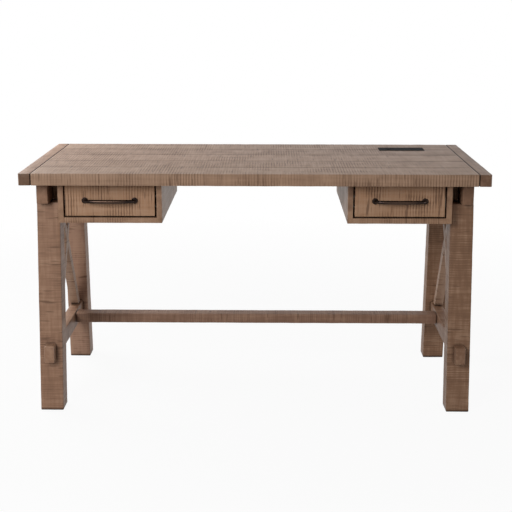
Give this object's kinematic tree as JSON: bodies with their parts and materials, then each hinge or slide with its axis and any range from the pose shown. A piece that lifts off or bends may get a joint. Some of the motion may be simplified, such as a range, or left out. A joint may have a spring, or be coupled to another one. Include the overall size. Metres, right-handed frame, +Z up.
{
  "type": "writing desk with drawers",
  "caption": "Rustic plank-top writing desk on splayed trestles with crossed braces, a low stretcher, a drawer at each side and a power module set into the top.",
  "frame": {"origin": "on the floor, under the middle of the top", "axes": "+X along the length towards the power module, -Y towards the sitter, +Z up"},
  "size_m": [1.422, 0.711, 0.762],
  "materials": {
    "plank_wood": "rough-sawn, weathered taupe stain, matt",
    "breadboard_wood": "rough-sawn, weathered taupe stain, matt",
    "leg_wood": "rough-sawn, brown stain, matt",
    "rail_wood": "rough-sawn, brown stain, matt",
    "brace_wood": "rough-sawn, brown stain, matt",
    "stretcher_wood": "rough-sawn, brown stain, matt",
    "cabinet_wood": "rough-sawn, brown stain, matt",
    "drawer_front_wood": "rough-sawn, brown stain, matt",
    "drawer_box_wood": "planed and sealed",
    "pull_bronze": "dark oil-rubbed bronze",
    "screw_steel": "zinc-plated",
    "slide_steel": "zinc-plated sheet",
    "bezel_plastic": "black, satin gloss",
    "housing_plastic": "black, matt",
    "socket_plastic": "black, gloss"
  },
  "bodies": {
    "desk": {"brace_to_back_left": "brace_wood", "brace_to_back_right": "brace_wood", "brace_to_front_left": "brace_wood", "brace_to_front_right": "brace_wood", "breadboard_left": "breadboard_wood", "breadboard_right": "breadboard_wood", "cabinet_back_left": "cabinet_wood", "cabinet_back_right": "cabinet_wood", "cabinet_bottom_left": "cabinet_wood", "cabinet_bottom_right": "cabinet_wood", "cabinet_cleats_left": "cabinet_wood", "cabinet_cleats_right": "cabinet_wood", "cabinet_inner_side_left": "cabinet_wood", "cabinet_inner_side_right": "cabinet_wood", "cabinet_outer_side_left": "cabinet_wood", "cabinet_outer_side_right": "cabinet_wood", "leg_back_left": "leg_wood", "leg_back_right": "leg_wood", "leg_front_left": "leg_wood", "leg_front_right": "leg_wood", "lower_rail_left": "rail_wood", "lower_rail_right": "rail_wood", "power_bezel": "bezel_plastic", "power_housing": "housing_plastic", "power_outlet_plate": "socket_plastic", "power_usb_plate": "socket_plastic", "slide_channels_left": "slide_steel", "slide_channels_right": "slide_steel", "stretcher": "stretcher_wood", "top_bolts": "screw_steel", "top_plank_1": "plank_wood", "top_plank_2": "plank_wood", "top_plank_3": "plank_wood", "top_plank_4": "plank_wood", "top_plank_5": "plank_wood", "top_rail_left": "rail_wood", "top_rail_right": "rail_wood"},
    "drawer_left": {"drawer_back_left": "drawer_box_wood", "drawer_bottom_left": "drawer_box_wood", "drawer_front_left": "drawer_front_wood", "drawer_inner_side_left": "drawer_box_wood", "drawer_outer_side_left": "drawer_box_wood", "pull_left": "pull_bronze", "pull_screws_left": "screw_steel", "slide_rails_left": "slide_steel"},
    "drawer_right": {"drawer_back_right": "drawer_box_wood", "drawer_bottom_right": "drawer_box_wood", "drawer_front_right": "drawer_front_wood", "drawer_inner_side_right": "drawer_box_wood", "drawer_outer_side_right": "drawer_box_wood", "pull_right": "pull_bronze", "pull_screws_right": "screw_steel", "slide_rails_right": "slide_steel"}
  },
  "joints": [
    {"name": "drawer_left_slide", "type": "slide", "parent": "desk", "child": "drawer_left", "axis": [0, -1, 0], "range_m": [0, 0.33]},
    {"name": "drawer_right_slide", "type": "slide", "parent": "desk", "child": "drawer_right", "axis": [0, -1, 0], "range_m": [0, 0.33]}
  ]
}
